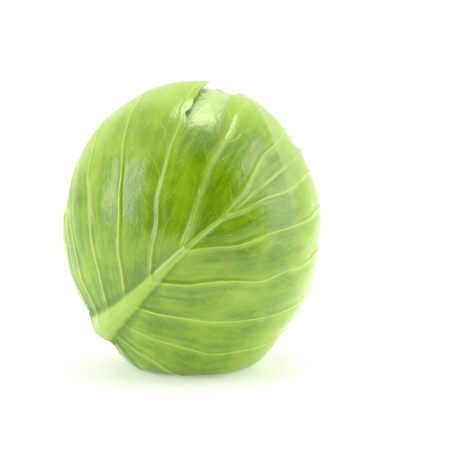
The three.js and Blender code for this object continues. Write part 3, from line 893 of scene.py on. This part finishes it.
# The green of a leaf, with its other colours laid over it one by one
def leafColour(tree, masks, look):
    skin = leafSkin
    acrossRib = masks["acrossRib"]

    def times(first, second):
        return addMath(tree, "MULTIPLY", first, second)

    spots = addRange(tree, masks["mottle"], *skin["bloomSpotMask"])
    # Paler wax spots, and painted sheen past the crease of the front leaf
    waxAndSheenMask = addMath(tree, "MAXIMUM", times(masks["bloom"], skin["sheenShare"]), spots)
    vein = addRange(tree, masks["veinDistance"], *skin["veinMask"])
    # Painted shade along both borders of the midrib, partly the leaf's own darker tone, in its wide part only
    ribEdgeShade = addRange(tree, acrossRib, *skin["ribEdgeShadeEnd"])
    ribEdgeShade = times(addRange(tree, acrossRib, *skin["ribEdgeShadeStart"]), ribEdgeShade)
    fibrous = addRange(tree, masks["fibres"], *skin["ribFibreMask"])
    onStalk = addRange(tree, acrossRib, *skin["stalkSideMask"])
    onStalk = times(addRange(tree, masks["fromStem"], *skin["stalkMask"]), onStalk)
    layers = [
        (addRange(tree, masks["share"], *skin["marginEdge"], 0.0, look["marginPale"]), look["pale"]),
        (addRange(tree, masks["covered"], *skin["hiddenMask"]), look["hidden"]),
        (waxAndSheenMask, look["bloom"]),
        (times(masks["net"], skin["netShare"]), look["vein"]),
        (times(masks["branch"], skin["branchShare"]), look["vein"]),
        (addRange(tree, masks["veinDistance"], *skin["glowMask"]), look["vein"]),
        (times(vein, look["veinContrast"]), look["vein"]),
        (times(ribEdgeShade, masks["isWide"]), look["deep"]),
        (times(masks["rib"], skin["ribShare"]), mixColours(tree, fibrous, look["rib"], look["green"])),
        (onStalk, look["stalk"]),
    ]
    patches = addRange(tree, masks["patches"], *skin["patchMask"])
    colour = mixColours(tree, patches, look["deep"], look["green"])
    for mask, tone in layers:
        colour = mixColours(tree, mask, colour, tone)
    return colour


# The fine relief of a leaf, which is too low for its mesh
def leafRelief(tree, masks):
    skin = leafSkin
    acrossRib, place = masks["acrossRib"], masks["place"]
    groove = addRange(tree, acrossRib, *skin["grooveEnd"])
    groove = addMath(tree, "MULTIPLY", addRange(tree, acrossRib, *skin["grooveStart"]), groove)
    crumpled = addMath(tree, "MULTIPLY_ADD", masks["bloom"], skin["sheenCrumple"], masks["covered"])
    crumples = addStretchedNoise(tree, place, *skin["crumpleNoise"])
    reliefs = {
        "streaks": masks["streaks"],
        "branch": masks["branch"],
        "ribFibres": addMath(tree, "MULTIPLY", masks["fibres"], masks["rib"]),
        "groove": addMath(tree, "MULTIPLY", groove, masks["isWide"]),
        "crumples": addMath(tree, "MULTIPLY", crumples, crumpled),
        "net": masks["net"],
        "waves": addNoise(tree, place, skin["waveScale"]),
        "grainy": masks["grainy"],
    }
    height = 0.0
    for name, relief in reliefs.items():
        height = addMath(tree, "MULTIPLY_ADD", relief, skin["relief"][name], height)
    return height


def leafMaterial(name, look):
    material, tree, shader = startMaterial(name)
    skin = leafSkin
    masks = leafMasks(tree, look)
    tree.links.new(leafColour(tree, masks, look), shader.inputs["Base Color"])
    roughness = addMath(tree, "MULTIPLY_ADD", masks["patches"], skin["patchRoughness"], look["roughness"])
    roughness = addMath(tree, "MULTIPLY_ADD", masks["grainy"], skin["grainRoughness"], roughness)
    tree.links.new(roughness, shader.inputs["Roughness"])
    addBump(tree, shader, leafRelief(tree, masks), skin["bump"], skin["bumpDistance"])
    shader.inputs["IOR"].default_value = skin["ior"]
    shader.inputs["Subsurface Weight"].default_value = skin["subsurface"]
    shader.inputs["Subsurface Radius"].default_value = skin["subsurfaceRadius"]
    shader.inputs["Subsurface Scale"].default_value = skin["subsurfaceScale"]
    return material


heartLook = {
    "green": (0.56, 0.70, 0.25, 1),
    "pale": (0.78, 0.83, 0.48, 1),
    "patchNoise": (26.0, 4.0),
    "patchMask": (0.35, 0.7),
    "veinScale": 120.0,
    "veinMask": (0.01, 0.1, 0.35, 0.0),
    "veinRelief": (0.0, 0.12, 1.0, 0.0),
    "roughness": (0.2, 0.8, 0.38, 0.52),
    "bump": 0.4,
    "bumpDistance": 0.3 * mm,
    "subsurface": 0.12,
    "subsurfaceScale": 2 * mm,
}


def heartMaterial():
    look = heartLook
    material, tree, shader = startMaterial("heartLeaf")
    place = addNode(tree, "TexCoord").outputs["Object"]
    patches = addNoise(tree, place, *look["patchNoise"])
    veins = addCellEdges(tree, place, look["veinScale"])
    colour = mixColours(tree, addRange(tree, patches, *look["patchMask"]), look["green"], look["pale"])
    colour = mixColours(tree, addRange(tree, veins, *look["veinMask"]), colour, look["pale"])
    tree.links.new(colour, shader.inputs["Base Color"])
    tree.links.new(addRange(tree, patches, *look["roughness"]), shader.inputs["Roughness"])
    addBump(tree, shader, addRange(tree, veins, *look["veinRelief"]), look["bump"], look["bumpDistance"])
    shader.inputs["Subsurface Weight"].default_value = look["subsurface"]
    shader.inputs["Subsurface Scale"].default_value = look["subsurfaceScale"]
    return material


stemLook = {
    "flesh": (0.80, 0.82, 0.58, 1),
    "wood": (0.68, 0.70, 0.40, 1),
    "skin": (0.52, 0.64, 0.26, 1),
    "brown": (0.34, 0.22, 0.09, 1),
    "cutMask": (88.4 * mm, 89.0 * mm),
    "woodStart": (8.2 * mm, 9.6 * mm),
    "woodEnd": (10.6 * mm, 12.2 * mm, 1.0, 0.0),
    "brownStart": (11.6 * mm, 14.2 * mm),
    "brownSpotMask": (0.35, 0.65, 0.15, 0.75),
    "paleSpotMask": (0.4, 0.75, 0.0, 0.5),
    "fibreMask": (0.5, 0.8, 0.0, 0.25),
    "fibreNoise": (420.0, 5.0, 0.65),
    "blotchNoise": (90.0, 4.0),
    "roughness": (0.3, 0.7, 0.42, 0.62),
    "bump": 0.5,
    "bumpDistance": 0.3 * mm,
    "subsurface": 0.15,
    "subsurfaceScale": 2 * mm,
}


def stemMaterial():
    look = stemLook
    material, tree, shader = startMaterial("cutStem")
    place = addNode(tree, "TexCoord").outputs["Object"]
    stem = tuple(head["stem"])
    centred = addVectors(tree, "SUBTRACT", place, tuple(head["middle"])).outputs[0]
    along = addVectors(tree, "DOT_PRODUCT", centred, stem).outputs["Value"]
    fromAxis = addVectors(tree, "CROSS_PRODUCT", centred, stem).outputs[0]
    radius = addVectors(tree, "LENGTH", fromAxis).outputs["Value"]
    fibres = addNoise(tree, place, *look["fibreNoise"])
    blotches = addNoise(tree, place, *look["blotchNoise"])

    woodRing = addRange(tree, radius, *look["woodEnd"])
    woodRing = addMath(tree, "MULTIPLY", addRange(tree, radius, *look["woodStart"]), woodRing)
    cutColour = mixColours(tree, woodRing, look["flesh"], look["wood"])
    brownSpots = addRange(tree, blotches, *look["brownSpotMask"])
    rimBrown = addMath(tree, "MULTIPLY", addRange(tree, radius, *look["brownStart"]), brownSpots)
    cutColour = mixColours(tree, rimBrown, cutColour, look["brown"])
    paleSpots = addRange(tree, blotches, *look["paleSpotMask"])
    sideColour = mixColours(tree, paleSpots, look["skin"], look["flesh"])
    colour = mixColours(tree, addRange(tree, along, *look["cutMask"]), sideColour, cutColour)
    colour = mixColours(tree, addRange(tree, fibres, *look["fibreMask"]), colour, look["wood"])
    tree.links.new(colour, shader.inputs["Base Color"])
    tree.links.new(addRange(tree, fibres, *look["roughness"]), shader.inputs["Roughness"])
    addBump(tree, shader, fibres, look["bump"], look["bumpDistance"])
    shader.inputs["Subsurface Weight"].default_value = look["subsurface"]
    shader.inputs["Subsurface Scale"].default_value = look["subsurfaceScale"]
    return material


def dress(piece, node, material):
    piece.data.materials.clear()
    piece.data.materials.append(material)
    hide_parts(node)
    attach(piece, "root")


outerLeaf = leafMaterial("outerLeaf", outerLook)
innerLeaf = leafMaterial("innerLeaf", innerLook)
outerCount = 3
for leaf in leaves:
    isOuter = leaf["index"] < outerCount
    dress(makeLeaf(leaf), f"wrapper_leaf_{leaf['index'] + 1}", outerLeaf if isOuter else innerLeaf)
print("leaves done")

dress(makeRound("packedHeart", heart, heartRings), "heart", heartMaterial())
dress(makeRound("cutStemPiece", cutStem, stemRings), "stem", stemMaterial())
print("heart and stem done")

ground = {
    "size": 8,
    "colour": (0.93, 0.93, 0.93, 1),
    "roughness": 0.7,
    "glow": 0.28,
}


def makeFloor():
    bm = bmesh.new()
    bmesh.ops.create_grid(bm, x_segments=1, y_segments=1, size=ground["size"])
    mesh = bpy.data.meshes.new("floor")
    bm.to_mesh(mesh)
    bm.free()
    floor = bpy.data.objects.new("floor", mesh)
    bpy.context.scene.collection.objects.link(floor)
    material, tree, shader = startMaterial("paleFloor")
    shader.inputs["Base Color"].default_value = ground["colour"]
    shader.inputs["Roughness"].default_value = ground["roughness"]
    shader.inputs["Emission Color"].default_value = (1, 1, 1, 1)
    shader.inputs["Emission Strength"].default_value = ground["glow"]
    mesh.materials.append(material)


# Pale surroundings with a dark opening in front, given by how far its left and right edges lie to the side
# and how far its top edge lies to the front
studio = {
    "pale": 0.98,
    "dark": 0.03,
    "leftEdge": (-0.62, -0.46),
    "rightEdge": (0.77, 0.90),
    "topEdge": (-0.48, -0.42),
    "softboxes": {
        "overhead": {"place": (0.09, 0.14, 1.0), "size": (0.46, 0.42), "power": 3.2},
        "left": {"place": (-1.0, -0.35, 0.55), "size": (0.6, 0.8), "power": 5},
        "right": {"place": (1.1, -0.1, 0.5), "size": (1.0, 1.2), "power": 7},
    },
}


def makeSoftboxes():
    aim = Vector(head["middle"])
    for name, box in studio["softboxes"].items():
        light = bpy.data.lights.new(name, "AREA")
        light.shape = "RECTANGLE"
        light.size, light.size_y = box["size"]
        light.energy = box["power"]
        lamp = bpy.data.objects.new(name, light)
        lamp.location = box["place"]
        lamp.rotation_euler = (aim - lamp.location).to_track_quat("-Z", "Y").to_euler()
        bpy.context.scene.collection.objects.link(lamp)


def makeSurroundings():
    world = bpy.data.worlds.new("studio")
    world.use_nodes = True
    bpy.context.scene.world = world
    tree = world.node_tree
    direction = addNode(tree, "SeparateXYZ", {0: addNode(tree, "TexCoord").outputs["Generated"]})
    sideways, forwards = direction.outputs[0], direction.outputs[1]
    opening = addRange(tree, sideways, *studio["leftEdge"])
    for way, edge in ((sideways, "rightEdge"), (forwards, "topEdge")):
        opening = addMath(tree, "MULTIPLY", opening, addRange(tree, way, *studio[edge], 1.0, 0.0))
    strength = addRange(tree, opening, 0.0, 1.0, studio["pale"], studio["dark"])
    background = tree.nodes["Background"]
    background.inputs["Color"].default_value = (1, 1, 1, 1)
    tree.links.new(strength, background.inputs["Strength"])


# The picture's frame is square, and middleX and middleY say where in it the head's middle stands
view = {
    "elevation": 10,
    "distance": 1.3,
    "lens": 161.2,
    "sensor": 36,
    "frame": 450,
    "middleX": 192,
    "middleY": 229,
}


def makeCamera():
    camera = bpy.data.cameras.new("camera")
    camera.lens = view["lens"]
    camera.sensor_width = view["sensor"]
    half = view["frame"] / 2
    camera.shift_x = (half - view["middleX"]) / view["frame"]
    camera.shift_y = (view["middleY"] - half) / view["frame"]
    holder = bpy.data.objects.new("camera", camera)
    rise = math.radians(view["elevation"])
    back = Vector((0, -math.cos(rise), math.sin(rise))) * view["distance"]
    holder.location = Vector(head["middle"]) + back
    holder.rotation_euler = Euler((math.pi / 2 - rise, 0, 0))
    bpy.context.scene.collection.objects.link(holder)
    bpy.context.scene.camera = holder


makeFloor()
makeSoftboxes()
makeSurroundings()
makeCamera()
bpy.context.scene.view_settings.view_transform = "Standard"
print("studio done")
